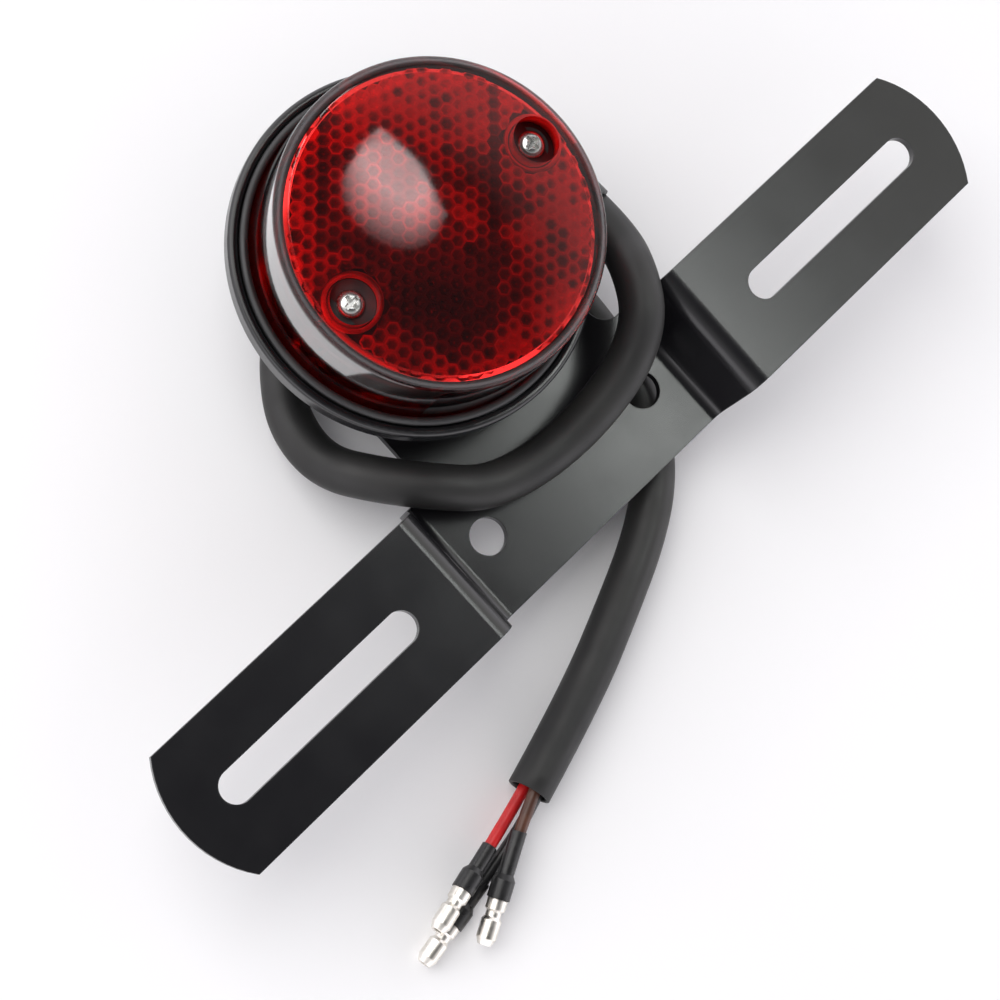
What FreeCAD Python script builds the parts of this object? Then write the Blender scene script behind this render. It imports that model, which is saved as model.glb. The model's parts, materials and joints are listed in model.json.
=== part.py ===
"""Round motorcycle tail light on a stepped number plate bracket.

Row frame, in millimetres: X runs along the bracket, +Y points from the bracket to the lamp, +Z is the way the
lens faces, and z = 0 is the surface that the light lies on. The lamp sits on the bracket's neck, which is flush
with the low centre of the bracket. Both arms are stepped up from that centre, to carry the number plate.
"""
import FreeCAD, Part
import math
import os
from types import SimpleNamespace

import Sketcher
from FreeCAD import Placement, Rotation, Vector

DIMENSIONS = {
    # bracket, of pressed steel plate
    "floor_gap": 11.0,
    "plate_thick": 2.0,
    "bracket_width": 30.0,
    "bracket_y": -37.5,
    "fold_x": 32.6,
    "step_run": 4.0,
    "step_rise": 15.0,
    "bend_inner": 2.5,
    "arm_end": 105.6,
    "tip_radius": 25.0,
    "slot_pitch": 151.0,
    "slot_length": 51.0,
    "slot_width": 7.0,
    "hole_pitch": 46.6,
    "hole_dia": 8.0,
    "neck_width": 52.0,
    "neck_blend": 4.5,
    # lamp housing; its heights count from the neck's upper face
    "lamp_y": 15.0,
    "pad_dia": 52.0,
    "pad_thick": 2.0,
    "wall": 1.2,
    "back_dia": 56.0,
    "shoulder_dia": 63.0,
    "shoulder_height": 5.5,
    "waist_dia": 68.8,
    "rim_dia": 75.0,
    "rim_lip": 2.1,
    "seat_height": 13.4,
    "rim_height": 16.7,
    # reflector dish
    "dish_height": 5.0,
    "dish_thick": 0.6,
    "dish_floor_dia": 56.0,
    "dish_rim_dia": 64.4,
    "dish_rim_height": 12.4,
    # gasket, lens and lens screws
    "gasket_thick": 1.8,
    "gasket_inner_dia": 63.6,
    "bead_dia": 70.4,
    "bead_width": 1.7,
    "bead_height": 17.2,
    "lens_foot_dia": 66.8,
    "lens_dia": 65.6,
    "lens_wall": 2.2,
    "lens_edge": 39.7,
    "lens_round": 2.6,
    "dome_radius": 158.0,
    "dome_tip": 0.5,
    "screw_pitch": 49.0,
    "boss_dia": 11.8,
    "recess_dia": 9.5,
    "recess_floor": 35.4,
    "screw_dia": 3.0,
    "screw_tip": 7.0,
    "head_dia": 5.6,
    "head_height": 2.0,
    "seal_thick": 0.9,
    "post_dia": 6.0,
    "window_angle": 86.0,
    "window_low": 18.4,
    "window_high": 35.6,
    "window_gap": 0.1,
    # studs and nuts under the lamp
    "stud_pitch": 30.0,
    "stud_dia": 5.0,
    "stud_head_dia": 10.0,
    "stud_head": 1.5,
    "washer_dia": 10.0,
    "washer_thick": 1.0,
    "spring_washer_dia": 8.6,
    "spring_washer_thick": 1.3,
    "nut_flats": 8.0,
    "nut_height": 4.0,
    # socket and bulb; their lengths count along +Y from the lamp's axis
    "bulb_height": 19.5,
    "glass_dia": 25.0,
    "glass_centre": -13.5,
    "glass_wall": 0.7,
    "glass_neck_dia": 13.8,
    "cap_dia": 15.0,
    "cap_start": 2.0,
    "cap_end": 17.0,
    "contact_tip": 18.9,
    "plunger_start": 19.2,
    "plunger_end": 21.2,
    "plunger_dia": 14.6,
    "socket_bore": 15.6,
    "socket_dia": 17.2,
    "socket_mouth": 6.0,
    "cap_disc": 26.0,
    "socket_end": 28.0,
    "pin_place": 9.0,
    "pin_dia": 2.0,
    "pin_span": 17.8,
    "push_travel": 2.5,
    "twist_rise": 2.8,
    "pin_room": 0.3,
    # cable
    "boot_x": 38.0,
    "boot_y": 7.0,
    "boot_height": 6.4,
    "boot_dia": 11.0,
    "boot_leg": 9.2,
    "boot_tilt": 8.0,
    "boot_stub_dia": 6.0,
    "sleeve_dia": 9.5,
    "sleeve_bore": 7.7,
    "sleeve_open": 12.0,
    "wire_dia": 2.6,
    "lead_dia": 1.4,
    "shrink_dia": 3.4,
    "shrink_hood_dia": 4.8,
    "shrink_red": 9.5,
    "shrink_brown": 13.0,
    "shrink_black": 9.5,
    "bullet_dia": 4.2,
    "bullet_length": 9.6,
}

SLEEVE_ROUTE = [
    (38.0, -2.31, 20.71), (38.1, -10.6, 21.87), (33.3, -18.2, 27.4), (28.2, -25.4, 28.2), (21.6, -30.2, 25.0),
    (12.6, -32.8, 21.8), (2.8, -33.8, 18.9), (-8.0, -33.0, 18.2), (-18.7, -29.8, 18.6), (-26.8, -22.4, 19.8),
    (-33.4, -14.0, 16.4), (-38.2, -5.0, 9.6), (-36.8, 5.8, 6.0), (-30.4, 15.0, 4.9), (-21.6, 22.8, 4.9),
    (-11.6, 29.2, 4.9), (0.0, 32.4, 4.9), (11.6, 30.8, 4.9), (21.4, 24.2, 4.9), (27.2, 14.0, 4.9),
    (28.8, 2.4, 4.9), (28.6, -9.6, 4.9), (28.2, -21.6, 4.9), (26.8, -33.6, 4.9), (22.6, -44.8, 4.9),
    (15.0, -54.2, 4.9), (4.6, -61.2, 4.9), (-8.6, -67.2, 4.9), (-29.0, -75.6, 4.9), (-50.9, -81.9, 4.9),
]
"""The cable's route: from the boot over the bracket, round under the lamp and out beneath the bracket."""

WIRE_ROUTES = {
    "red": [(-41.1, -78.0, 3.5), (-52.5, -81.7, 3.8), (-74.0, -86.0, 6.0)],
    "brown": [(-40.6, -78.5, 6.4), (-52.6, -82.6, 7.2), (-69.6, -92.3, 4.9)],
    "black": [(-40.2, -80.4, 4.2), (-53.0, -85.0, 3.6), (-62.5, -87.5, 2.5), (-79.6, -90.1, 2.5)],
}
"""Each wire's route, from inside the sleeve's open end to the crimp of its bullet."""

LEAD_ROUTES = {
    "red": [(29.7, -7.2, 7.6), (22.5, -7.2, 8.6), (15.6, -1.0, 8.6), (14.4, 8.0, 8.6), (13.2, 18.0, 9.2),
            (10.4, 26.0, 10.8), (4.6, 29.5, 13.0), (4.2, 29.5, 17.6)],
    "brown": [(29.7, -9.0, 7.6), (21.6, -10.2, 8.4), (12.0, -5.4, 8.4), (11.2, 5.4, 9.2), (10.9, 16.6, 9.2),
              (8.8, 27.0, 9.2), (-0.4, 29.6, 11.4), (-4.2, 29.6, 14.4), (-4.2, 29.5, 17.8)],
    "black": [(29.6, -8.2, 5.5), (24.0, -9.4, 6.6), (18.0, -3.0, 6.6), (15.6, 6.6, 6.7), (8.2, 10.8, 8.0)],
}
"""The leads inside the lamp, from the boot to the socket's two terminals and to the bracket's rivet."""


class Size:
    """A number together with the spreadsheet expression that it follows."""

    def __init__(self, value, text):
        self.value = value
        self.text = text

    def __add__(self, other):
        other = size(other)
        return Size(self.value + other.value, f"({self.text} + {other.text})")

    def __sub__(self, other):
        other = size(other)
        return Size(self.value - other.value, f"({self.text} - {other.text})")

    def __mul__(self, other):
        other = size(other)
        return Size(self.value * other.value, f"({self.text} * {other.text})")

    def __truediv__(self, other):
        other = size(other)
        return Size(self.value / other.value, f"({self.text} / {other.text})")

    def __neg__(self):
        return Size(-self.value, f"(0 - {self.text})")

    def __radd__(self, other):
        return size(other) + self

    def __rsub__(self, other):
        return size(other) - self

    def __rmul__(self, other):
        return size(other) * self


def size(number):
    """A plain number as a Size; a Size as it is."""
    if isinstance(number, Size):
        return number
    return Size(float(number), str(float(number)))


def root(number):
    return Size(math.sqrt(number.value), f"sqrt({number.text})")


def make_sheet(doc):
    """Writes the driving dimensions to a spreadsheet, and returns them as named sizes."""
    sheet = doc.addObject("Spreadsheet::Sheet", "Dims")
    named = {}
    for row, (name, value) in enumerate(DIMENSIONS.items(), start=1):
        sheet.set(f"A{row}", name)
        sheet.set(f"B{row}", str(value))
        sheet.setAlias(f"B{row}", name)
        named[name] = Size(value, f"Dims.{name}")
    doc.recompute()
    return sheet, SimpleNamespace(**named)


doc = FreeCAD.newDocument("tail_light")
sheet, D = make_sheet(doc)


def bind(item, name, number):
    """Ties a property, or a coordinate of a placement, to its size."""
    number = size(number)
    if "." not in name:
        setattr(item, name, number.value)
    item.setExpression(name, number.text)


def locate(item, x=0, y=0, z=0, field="Placement"):
    """Ties an item's position to sizes."""
    for axis, number in zip("xyz", (x, y, z)):
        if size(number).value != 0 or isinstance(number, Size):
            bind(item, f"{field}.Base.{axis}", number)


def in_lamp(item, x=0, y=0, z=0):
    """Positions an item from the lamp's axis and the neck's upper face."""
    locate(item, x, D.lamp_y + y, D.floor_gap + D.plate_thick + z)


def beside_bulb(item):
    """Turns an item's own Z to +Y, and positions it on the bulb's axis."""
    item.Placement = Placement(Vector(), Rotation(Vector(1, 0, 0), -90))
    in_lamp(item, z=D.bulb_height)


# ---- sketches and features ----

def new_body(label):
    return doc.addObject("PartDesign::Body", label)


def new_sketch(body, name, plane="XY_Plane", height=None):
    """A sketch on one of the body's own planes, moved along the plane's normal by height."""
    sketch = body.newObject("Sketcher::SketchObject", name)
    support = next(item for item in body.Origin.OriginFeatures if item.Role == plane)
    sketch.AttachmentSupport = [(support, "")]
    sketch.MapMode = "FlatFace"
    if height is not None:
        locate(sketch, z=height, field="AttachmentOffset")
    return sketch


def hold(sketch, kind, places, number):
    """Adds a dimension to a sketch, and ties it to its size."""
    number = size(number)
    index = sketch.addConstraint(Sketcher.Constraint(kind, *places, number.value))
    sketch.setExpression(f"Constraints[{index}]", number.text)


def hold_point(sketch, place, point):
    """Fixes a point of a sketch by its two coordinates."""
    for kind, axis, number in (("DistanceX", -2, point[0]), ("DistanceY", -1, point[1])):
        number = size(number)
        if number.value == 0:
            sketch.addConstraint(Sketcher.Constraint("PointOnObject", *place, axis))
        else:
            hold(sketch, kind, (-1, 1, *place), number)


def outline(sketch, points, arcs=None):
    """Draws a closed outline; arcs gives a side's radius, and 1 or -1 for a centre to its left or right."""
    arcs = arcs or {}
    spots = [Vector(size(x).value, size(y).value, 0) for x, y in points]
    starts = []
    ends = []
    for i, first in enumerate(spots):
        last = spots[(i + 1) % len(spots)]
        if i in arcs:
            radius, hand = size(arcs[i][0]), arcs[i][1]
            chord = last - first
            across = Vector(-chord.y, chord.x, 0).normalize() * hand
            away = math.sqrt(radius.value ** 2 - chord.Length ** 2 / 4)
            centre = (first + last) * 0.5 + across * away
            angles = [math.atan2(p.y - centre.y, p.x - centre.x) for p in (first, last)]
            circle = Part.Circle(centre, Vector(0, 0, 1), radius.value)
            side = sketch.addGeometry(Part.ArcOfCircle(circle, *angles[::hand]))
            starts.append((side, 1 if hand > 0 else 2))
            ends.append((side, 2 if hand > 0 else 1))
        else:
            side = sketch.addGeometry(Part.LineSegment(first, last))
            starts.append((side, 1))
            ends.append((side, 2))
    for i, point in enumerate(points):
        sketch.addConstraint(Sketcher.Constraint("Coincident", *ends[i - 1], *starts[i]))
        hold_point(sketch, starts[i], point)
    for i, (radius, _) in arcs.items():
        hold(sketch, "Radius", (starts[i][0],), radius)


def oblong(sketch, left, right, low, high):
    outline(sketch, [(left, low), (right, low), (right, high), (left, high)])


def circles(sketch, spots, radius):
    """Draws circles of one radius at the spots."""
    radius = size(radius)
    for x, y in spots:
        centre = Vector(size(x).value, size(y).value, 0)
        side = sketch.addGeometry(Part.Circle(centre, Vector(0, 0, 1), radius.value))
        hold_point(sketch, (side, 3), (x, y))
        hold(sketch, "Radius", (side,), radius)


def feature(body, kind, sketch, name, **numbers):
    """Adds a feature made from a sketch, with its sizes."""
    item = body.newObject(f"PartDesign::{kind}", name)
    item.Profile = sketch
    for key, number in numbers.items():
        bind(item, key, number)
    body.Tip = item
    return item


def pad(body, sketch, name, length):
    return feature(body, "Pad", sketch, name, Length=length)


def pocket(body, sketch, name, length):
    return feature(body, "Pocket", sketch, name, Length=length)


def spin(body, sketch, name, kind="Revolution", angle=360):
    """Turns a sketch about its own vertical axis; a part turn is centred on the sketch's plane."""
    item = feature(body, kind, sketch, name)
    item.ReferenceAxis = (sketch, ["V_Axis"])
    bind(item, "Angle", angle)
    item.Midplane = size(angle).value < 360
    return item


def turned(label, points, arcs=None, plane="XZ_Plane"):
    """A body turned from a profile of radius and height."""
    body = new_body(label)
    sketch = new_sketch(body, f"{label}_profile", plane)
    outline(sketch, points, arcs)
    spin(body, sketch, f"{label}_turned")
    return body


def drill(body, name, spots, radius, top, depth):
    """Holes cut downwards from a height."""
    sketch = new_sketch(body, f"{name}_sketch", height=top)
    circles(sketch, spots, radius)
    return pocket(body, sketch, name, depth)


def block(label, spans):
    """A box between two sizes along each axis, in the lamp's frame."""
    item = doc.addObject("Part::Box", label)
    for name, (low, high) in zip(("Length", "Width", "Height"), spans):
        bind(item, name, size(high) - low)
    in_lamp(item, *(low for low, _ in spans))
    return item


def rod(label, radius, length, turn=None):
    """A cylinder along +Z, turned if asked, still to be positioned."""
    item = doc.addObject("Part::Cylinder", label)
    bind(item, "Radius", radius)
    bind(item, "Height", length)
    if turn:
        item.Placement = Placement(Vector(), turn)
    return item


def cut(label, base, tools):
    """Takes the tools from the base, one after another."""
    for number, tool in enumerate(tools, start=1):
        item = doc.addObject("Part::Cut", label if number == len(tools) else f"{label}_cut{number}")
        item.Base = base
        item.Tool = tool
        base = item
    return base


def fuse(label, items):
    item = doc.addObject("Part::MultiFuse", label)
    item.Shapes = items
    item.Refine = True
    return item


def group(label, items):
    item = doc.addObject("Part::Compound", label)
    item.Links = items
    return item


def pair(label, item):
    """An item and its mirror image on the other side of the lamp's axis."""
    mirrored = doc.addObject("Part::Mirroring", f"{label}_left")
    mirrored.Source = item
    mirrored.Normal = Vector(1, 0, 0)
    return group(label, [item, mirrored])


def edges_at(shape, spots, along):
    """Names of the straight edges along an axis that pass through the spots on the other two axes."""
    names = []
    for number, edge in enumerate(shape.Edges, start=1):
        if not isinstance(edge.Curve, Part.Line) or abs(edge.Curve.Direction.dot(along)) < 0.999:
            continue
        middle = edge.CenterOfMass - along * edge.CenterOfMass.dot(along)
        if any((middle - spot).Length < 0.01 for spot in spots):
            names.append(f"Edge{number}")
    return names


def fillet(body, name, spots, along, radius):
    """Rounds the straight edges that pass through the spots."""
    doc.recompute()
    base = body.Tip
    item = body.newObject("PartDesign::Fillet", name)
    item.Base = (base, edges_at(base.Shape, spots, along))
    bind(item, "Radius", radius)
    body.Tip = item


# ---- bracket ----

def make_bracket():
    """The stepped bracket, from the middle of its width and the floor; the neck runs towards the lamp."""
    body = new_body("mounting_bracket")
    locate(body, y=D.bracket_y)
    low_top = D.floor_gap + D.plate_thick
    high_top = low_top + D.step_rise
    slant = D.plate_thick * root(D.step_run * D.step_run + D.step_rise * D.step_rise) / D.step_rise
    lean = D.step_run / D.step_rise
    top_low, top_high = D.fold_x, D.fold_x + D.step_run
    under_low = D.fold_x + slant - D.plate_thick * lean
    under_high = D.fold_x + slant + (D.step_rise - D.plate_thick) * lean
    high_under = high_top - D.plate_thick
    half = [
        (top_low, low_top), (top_high, high_top), (D.arm_end, high_top), (D.arm_end, high_under),
        (under_high, high_under), (under_low, D.floor_gap),
    ]
    profile = new_sketch(body, "bracket_profile", "XZ_Plane")
    outline(profile, half + [(-x, z) for x, z in reversed(half)])
    strip = pad(body, profile, "bracket_strip", D.bracket_width)
    strip.Midplane = True

    across = Vector(0, 1, 0)
    inner = [(top_low, low_top), (under_high, high_under)]
    outer = [(top_high, high_top), (under_low, D.floor_gap)]
    for name, corners, radius in (
        ("bends_inner", inner, D.bend_inner), ("bends_outer", outer, D.bend_inner + D.plate_thick)
    ):
        spots = [Vector(side * x.value, 0, z.value) for x, z in corners for side in (1, -1)]
        fillet(body, name, spots, across, radius)

    half_width = D.bracket_width / 2
    for side, name in ((1, "right"), (-1, "left")):
        tip = new_sketch(body, f"tip_{name}_sketch", height=high_under)
        ends = [(D.arm_end * side, -half_width), (D.arm_end * side, half_width)]
        outline(tip, ends, {1: (D.tip_radius, -side)})
        pad(body, tip, f"tip_{name}", D.plate_thick)

    reach = D.lamp_y - D.bracket_y
    half_neck = D.neck_width / 2
    neck = new_sketch(body, "neck_sketch", height=D.floor_gap)
    oblong(neck, -half_neck, half_neck, 0, reach)
    pad(body, neck, "neck", D.plate_thick)
    neck_end = new_sketch(body, "neck_end_sketch", height=D.floor_gap)
    circles(neck_end, [(0, reach)], half_neck)
    pad(body, neck_end, "neck_end", D.plate_thick)
    corners = [Vector(side * half_neck.value, half_width.value, 0) for side in (1, -1)]
    fillet(body, "neck_blends", corners, Vector(0, 0, 1), D.neck_blend)

    slot_end = (D.slot_length - D.slot_width) / 2
    for side, name in ((1, "right"), (-1, "left")):
        middle = D.slot_pitch / 2 * side
        slot = new_sketch(body, f"slot_{name}_sketch", height=high_top)
        oblong(slot, middle - slot_end, middle + slot_end, -D.slot_width / 2, D.slot_width / 2)
        pocket(body, slot, f"slot_{name}", D.plate_thick)
        ends = [(middle - slot_end, 0), (middle + slot_end, 0)]
        drill(body, f"slot_ends_{name}", ends, D.slot_width / 2, high_top, D.plate_thick)
    holes = [(D.hole_pitch / 2 * side, 0) for side in (1, -1)]
    drill(body, "centre_holes", holes, D.hole_dia / 2, low_top, D.plate_thick)
    studs = [(D.stud_pitch / 2 * side, reach) for side in (1, -1)]
    drill(body, "stud_holes", studs, D.stud_dia / 2 + 0.25, low_top, D.plate_thick)
    return body


# ---- lamp housing and what holds it ----

def make_housing():
    """The pressed housing with its rolled rim, the seat for the gasket and the cable's way in."""
    back, floor = D.pad_thick, D.pad_thick + D.wall
    slope = D.shoulder_dia / 2
    lip = D.rim_lip / 2
    rim = D.rim_dia / 2
    points = [
        (0, back), (D.back_dia / 2, back), (slope, D.shoulder_height), (D.waist_dia / 2, D.seat_height - D.wall),
        (rim, D.seat_height - D.wall), (rim, D.rim_height - lip), (rim - lip, D.rim_height),
        (rim - D.rim_lip, D.rim_height - lip), (rim - D.rim_lip, D.seat_height),
        (D.waist_dia / 2 - D.wall, D.seat_height), (slope - D.wall, D.shoulder_height + 0.4),
        (D.back_dia / 2 - 0.5, floor), (0, floor),
    ]
    body = turned("lamp_housing", points, {5: (lip, 1), 6: (lip, 1)})
    in_lamp(body)
    studs = [(D.stud_pitch / 2 * side, 0) for side in (1, -1)]
    drill(body, "housing_stud_holes", studs, D.stud_dia / 2 + 0.1, floor, D.wall)
    entry = new_sketch(body, "cable_entry_sketch", "YZ_Plane", D.rim_dia / 2)
    circles(entry, [(D.boot_y - D.lamp_y, D.boot_height)], D.boot_stub_dia / 2 + 0.05)
    pocket(body, entry, "cable_entry", 10)
    return body


def make_fixings():
    """The rubber pad, and the two studs with their washers, spring washers and nuts."""
    place = D.stud_pitch / 2
    mat = new_body("mount_pad")
    in_lamp(mat)
    face = new_sketch(mat, "mount_pad_sketch")
    circles(face, [(0, 0)], D.pad_dia / 2)
    circles(face, [(place, 0), (-place, 0)], D.stud_dia / 2 + 0.1)
    pad(mat, face, "mount_pad_sheet", D.pad_thick)

    seat = D.pad_thick + D.wall
    head, shank = D.stud_head_dia / 2, D.stud_dia / 2
    tip = -(D.floor_gap + D.plate_thick)
    stud = turned("stud_right", [
        (0, tip), (shank - 0.6, tip), (shank, tip + 0.6), (shank, seat), (head, seat),
        (head, seat + D.stud_head - 0.4), (head - 0.4, seat + D.stud_head), (0, seat + D.stud_head),
    ])
    in_lamp(stud, x=place)

    under = -D.plate_thick
    washer = turned("washer_right", [
        (shank + 0.2, under - D.washer_thick), (D.washer_dia / 2, under - D.washer_thick),
        (D.washer_dia / 2, under), (shank + 0.2, under),
    ])
    in_lamp(washer, x=place)

    lower = under - D.washer_thick
    ring = turned("spring_ring", [
        (shank + 0.15, lower - D.spring_washer_thick), (D.spring_washer_dia / 2, lower - D.spring_washer_thick),
        (D.spring_washer_dia / 2, lower), (shank + 0.15, lower),
    ])
    in_lamp(ring, x=place)
    split = doc.addObject("Part::Box", "spring_split")
    bind(split, "Length", 4)
    bind(split, "Width", 0.8)
    bind(split, "Height", D.spring_washer_thick + 1)
    in_lamp(split, place + 1.5, -0.4, lower - D.spring_washer_thick - 0.5)
    spring_washer = cut("spring_washer_right", ring, [split])

    top = lower - D.spring_washer_thick
    prism = doc.addObject("Part::Prism", "nut_prism")
    prism.Polygon = 6
    bind(prism, "Circumradius", D.nut_flats / math.sqrt(3))
    bind(prism, "Height", D.nut_height)
    in_lamp(prism, place, 0, top - D.nut_height)
    thread = rod("nut_thread", shank + 0.05, D.nut_height + 2)
    in_lamp(thread, place, 0, top - D.nut_height - 1)
    nut = cut("nut_right", prism, [thread])

    return [
        mat, pair("mounting_studs", stud), pair("stud_washers", washer),
        pair("stud_spring_washers", spring_washer), pair("stud_nuts", nut),
    ]


# ---- reflector, gasket, lens and screws ----

def make_reflector():
    """A bright dish above the housing's floor, with holes for posts, rivets and leads."""
    low, top = D.dish_height, D.dish_rim_height
    floor, rim = D.dish_floor_dia / 2, D.dish_rim_dia / 2
    body = turned("reflector", [
        (0, low), (floor, low), (rim, top), (rim - 0.7, top), (floor - 0.4, low + D.dish_thick),
        (0, low + D.dish_thick),
    ])
    in_lamp(body)
    upper = low + D.dish_thick
    posts = [(D.screw_pitch / 2 * side, 0) for side in (1, -1)]
    drill(body, "dish_post_holes", posts, D.post_dia / 2 + 0.3, upper, D.dish_thick)
    drill(body, "dish_rivet_holes", [(0, 13), (0, 22)], 1.5, upper, D.dish_thick)
    entry = new_sketch(body, "dish_entry_sketch", "YZ_Plane", D.rim_dia / 2)
    circles(entry, [(D.boot_y - D.lamp_y, D.boot_height)], 2.9)
    pocket(body, entry, "dish_entry", 12)
    return body


def wall_outer(height):
    """The lens wall's outer radius at a height."""
    foot = D.seat_height + D.gasket_thick
    fall = (D.lens_foot_dia - D.lens_dia) / 2 / (D.lens_edge - D.lens_round - foot)
    return D.lens_foot_dia / 2 - fall * (height - foot)


def domed(edge, reach, radius):
    """Height of a dome's flat tip, above the dome's edge at a reach from its axis."""
    tip = D.dome_tip
    return edge + root(radius * radius - tip * tip) - root(radius * radius - reach * reach)


def make_lens():
    """The red lens with its two screw wells, and the clear window in its lower side."""
    foot = D.seat_height + D.gasket_thick
    edge = D.lens_edge - D.lens_round
    face = D.lens_dia / 2 - D.lens_round
    dome = D.dome_radius
    inner_edge = D.lens_dia / 2 - D.lens_wall
    inner_face = inner_edge - 1
    crown = domed(D.lens_edge, face, dome)
    inner_crown = domed(D.lens_edge - D.lens_wall, inner_face, dome)
    body = turned("lens", [
        (D.lens_foot_dia / 2 - D.lens_wall, foot), (D.lens_foot_dia / 2, foot), (D.lens_dia / 2, edge),
        (face, D.lens_edge), (D.dome_tip, crown), (0, crown), (0, inner_crown), (D.dome_tip, inner_crown),
        (inner_face, D.lens_edge - D.lens_wall), (inner_edge, D.lens_edge - D.lens_wall - 1),
    ], {2: (D.lens_round, 1), 3: (dome, 1), 7: (dome, -1)}, "YZ_Plane")
    in_lamp(body)
    wells = [(D.screw_pitch / 2 * side, 0) for side in (1, -1)]
    bosses = new_sketch(body, "lens_boss_sketch", height=foot)
    circles(bosses, wells, D.boss_dia / 2)
    pad(body, bosses, "lens_bosses", D.lens_edge - 0.25 - foot)
    drill(body, "lens_wells", wells, D.recess_dia / 2, D.lens_edge + 2, D.lens_edge + 2 - D.recess_floor)
    drill(body, "lens_screw_holes", wells, D.screw_dia / 2 + 0.2, D.recess_floor, D.recess_floor - foot)
    opening = new_sketch(body, "lens_window_sketch", "YZ_Plane")
    oblong(opening, -D.rim_dia / 2, -D.rim_dia / 2 + 9, D.window_low, D.window_high)
    spin(body, opening, "lens_window", "Groove", D.window_angle)

    gap = D.window_gap
    low, high = D.window_low + gap, D.window_high - gap
    window = new_body("plate_window")
    sketch = new_sketch(window, "plate_window_profile", "YZ_Plane")
    outline(sketch, [
        (-wall_outer(low), low), (-wall_outer(high), high), (-wall_outer(high) + D.lens_wall, high),
        (-wall_outer(low) + D.lens_wall, low),
    ])
    spin(window, sketch, "plate_window_turned", angle=D.window_angle - 0.4)
    in_lamp(window)
    return [body, window]


def make_lens_fixings():
    """The gasket with its bead, and the screws with their seals and standoff posts."""
    seat, top = D.seat_height, D.seat_height + D.gasket_thick
    bead = D.bead_width / 2
    outer = D.bead_dia / 2
    gasket = turned("lens_gasket", [
        (D.gasket_inner_dia / 2, seat), (outer, seat), (outer, D.bead_height - bead),
        (outer - bead, D.bead_height), (outer - D.bead_width, D.bead_height - bead), (outer - D.bead_width, top),
        (D.gasket_inner_dia / 2, top),
    ], {2: (bead, 1), 3: (bead, 1)})
    in_lamp(gasket)

    place = D.screw_pitch / 2
    floor = D.pad_thick + D.wall
    post = turned("post_right", [
        (D.screw_dia / 2 + 0.05, floor), (D.post_dia / 2, floor), (D.post_dia / 2, top),
        (D.screw_dia / 2 + 0.05, top),
    ])
    in_lamp(post, x=place)

    seal_top = D.recess_floor + D.seal_thick
    seal = turned("seal_right", [
        (D.screw_dia / 2 + 0.2, D.recess_floor), (D.head_dia / 2 + 1, D.recess_floor),
        (D.head_dia / 2 + 1, seal_top), (D.screw_dia / 2 + 0.2, seal_top),
    ])
    in_lamp(seal, x=place)

    head = D.head_dia / 2
    screw = turned("screw_right", [
        (0, D.screw_tip), (D.screw_dia / 2 - 0.4, D.screw_tip), (D.screw_dia / 2, D.screw_tip + 0.6),
        (D.screw_dia / 2, seal_top), (head, seal_top), (head, seal_top + D.head_height * 0.45),
        (head * 0.45, seal_top + D.head_height), (0, seal_top + D.head_height),
    ], {5: (head * 0.78, 1)})
    in_lamp(screw, x=place)
    for number, (along, across) in enumerate(((1.6, 0.4), (0.4, 1.6)), start=1):
        cross = new_sketch(screw, f"screw_cross{number}_sketch", height=seal_top + D.head_height)
        oblong(cross, -along, along, -across, across)
        pocket(screw, cross, f"screw_cross{number}", 1.3)
    return [gasket, pair("lens_posts", post), pair("screw_seals", seal), pair("lens_screws", screw)]


# ---- socket and bulb ----

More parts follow.
